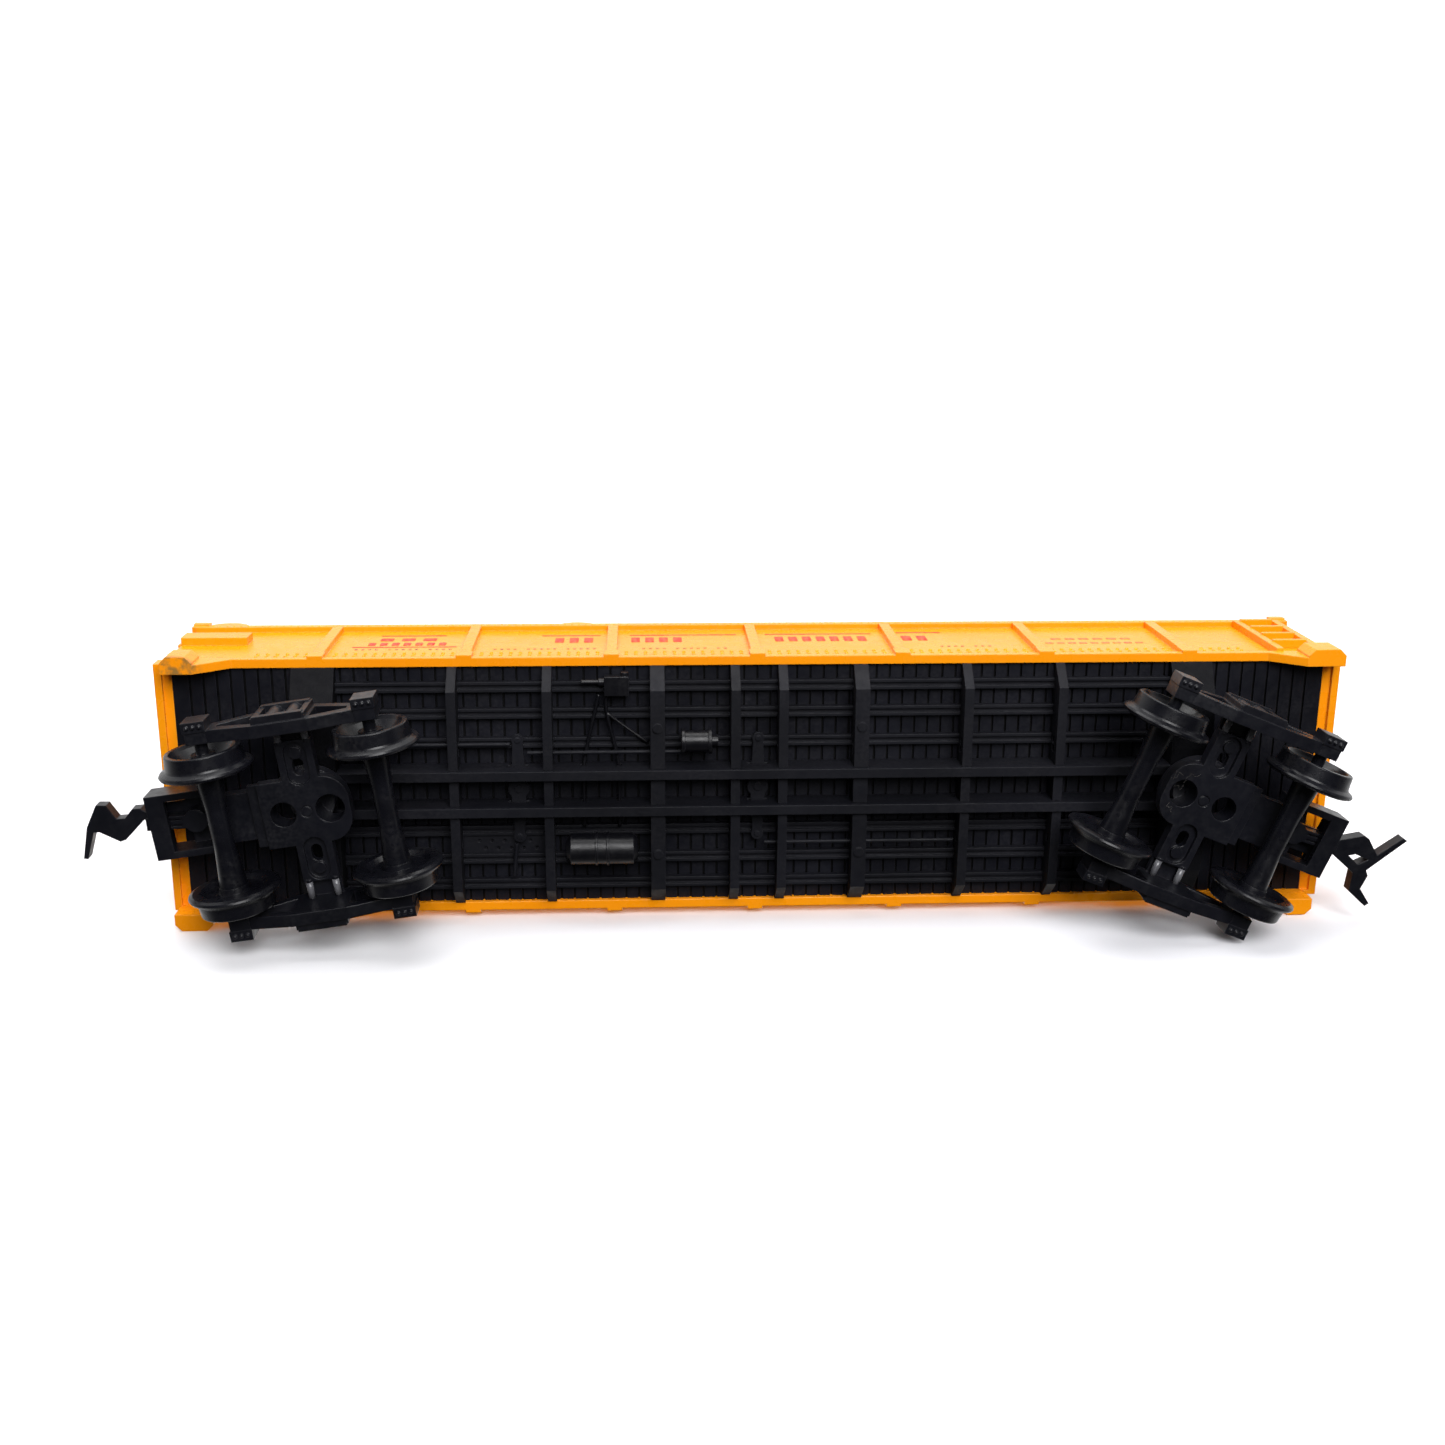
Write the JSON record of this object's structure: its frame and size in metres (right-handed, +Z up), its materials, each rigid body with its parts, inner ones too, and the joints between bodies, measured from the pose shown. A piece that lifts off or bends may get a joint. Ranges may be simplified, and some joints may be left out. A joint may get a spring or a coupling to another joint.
{
  "type": "model gondola car",
  "caption": "Ribbed open-top gondola railway car model with a plank floor, swivelling trucks, rolling wheelsets and swinging couplers.",
  "frame": {"origin": "middle of the car on the rail tops' plane, half way between the two kingpins", "axes": "+X along the car towards the front truck, +Z up; the car stands on its wheels. The two trucks and their couplers are stored swung as the picture shows them, and their joint zero is that pose: front_truck_swivel at -22 degrees and rear_truck_swivel at 8 degrees set the trucks straight, front_coupler_swing at 4 and rear_coupler_swing at -4 set the couplers straight"},
  "size_m": [0.1637, 0.0352, 0.0358],
  "materials": {
    "orange_plastic": "semi-gloss moulded orange plastic",
    "underframe_plastic": "satin black moulded plastic with dust",
    "truck_plastic": "satin black moulded plastic",
    "wheel_plastic": "satin tread, glossy dished face",
    "weight_steel": "plain sheet steel"
  },
  "bodies": {
    "car_body": {"body_shell": "orange_plastic", "side_ladder_front": "orange_plastic", "side_ladder_rear": "orange_plastic", "ballast_weight": "weight_steel", "underframe_floor": "underframe_plastic", "centre_sill": "underframe_plastic", "crossbearers": "underframe_plastic", "stringers": "underframe_plastic", "body_bolster_front": "underframe_plastic", "body_bolster_rear": "underframe_plastic", "brake_cylinder": "underframe_plastic", "air_reservoir": "underframe_plastic", "control_valve": "underframe_plastic", "brake_lever_front": "underframe_plastic", "brake_lever_rear": "underframe_plastic", "brake_rods": "underframe_plastic", "brake_pipes": "underframe_plastic", "drilled_plate": "underframe_plastic"},
    "front_truck": {"truck_frame_front": "truck_plastic", "coupler_pin_front": "truck_plastic"},
    "front_coupler": {"coupler_front": "truck_plastic"},
    "front_outer_wheelset": {"axle_front_outer": "wheel_plastic", "wheel_front_outer_left": "wheel_plastic", "wheel_front_outer_right": "wheel_plastic"},
    "front_inner_wheelset": {"axle_front_inner": "wheel_plastic", "wheel_front_inner_left": "wheel_plastic", "wheel_front_inner_right": "wheel_plastic"},
    "rear_truck": {"truck_frame_rear": "truck_plastic", "coupler_pin_rear": "truck_plastic"},
    "rear_coupler": {"coupler_rear": "truck_plastic"},
    "rear_outer_wheelset": {"axle_rear_outer": "wheel_plastic", "wheel_rear_outer_left": "wheel_plastic", "wheel_rear_outer_right": "wheel_plastic"},
    "rear_inner_wheelset": {"axle_rear_inner": "wheel_plastic", "wheel_rear_inner_left": "wheel_plastic", "wheel_rear_inner_right": "wheel_plastic"}
  },
  "joints": [
    {"name": "front_truck_swivel", "type": "hinge", "parent": "car_body", "child": "front_truck", "pos_m": [0.0543, 0, 0.0122], "axis": [0, 0, 1], "range_deg": [-52, 8]},
    {"name": "front_coupler_swing", "type": "hinge", "parent": "front_truck", "child": "front_coupler", "pos_m": [0.06728, 0.00524, 0.01], "axis": [0, 0, 1], "range_deg": [-8, 16], "stiffness_Nm_per_rad": 0.0004},
    {"name": "front_outer_axle_spin", "type": "hinge", "parent": "front_truck", "child": "front_outer_wheelset", "pos_m": [0.06339, 0.00367, 0.0045], "axis": [-0.3746, 0.9272, 0], "continuous": true},
    {"name": "front_inner_axle_spin", "type": "hinge", "parent": "front_truck", "child": "front_inner_wheelset", "pos_m": [0.04521, -0.00367, 0.0045], "axis": [-0.3746, 0.9272, 0], "continuous": true},
    {"name": "rear_truck_swivel", "type": "hinge", "parent": "car_body", "child": "rear_truck", "pos_m": [-0.0543, 0, 0.0122], "axis": [0, 0, 1], "range_deg": [-22, 38]},
    {"name": "rear_coupler_swing", "type": "hinge", "parent": "rear_truck", "child": "rear_coupler", "pos_m": [-0.06816, 0.00195, 0.01], "axis": [0, 0, 1], "range_deg": [-16, 8], "stiffness_Nm_per_rad": 0.0004},
    {"name": "rear_outer_axle_spin", "type": "hinge", "parent": "rear_truck", "child": "rear_outer_wheelset", "pos_m": [-0.06401, 0.00136, 0.0045], "axis": [-0.1392, -0.9903, 0], "continuous": true},
    {"name": "rear_inner_axle_spin", "type": "hinge", "parent": "rear_truck", "child": "rear_inner_wheelset", "pos_m": [-0.0446, -0.00136, 0.0045], "axis": [-0.1392, -0.9903, 0], "continuous": true}
  ]
}
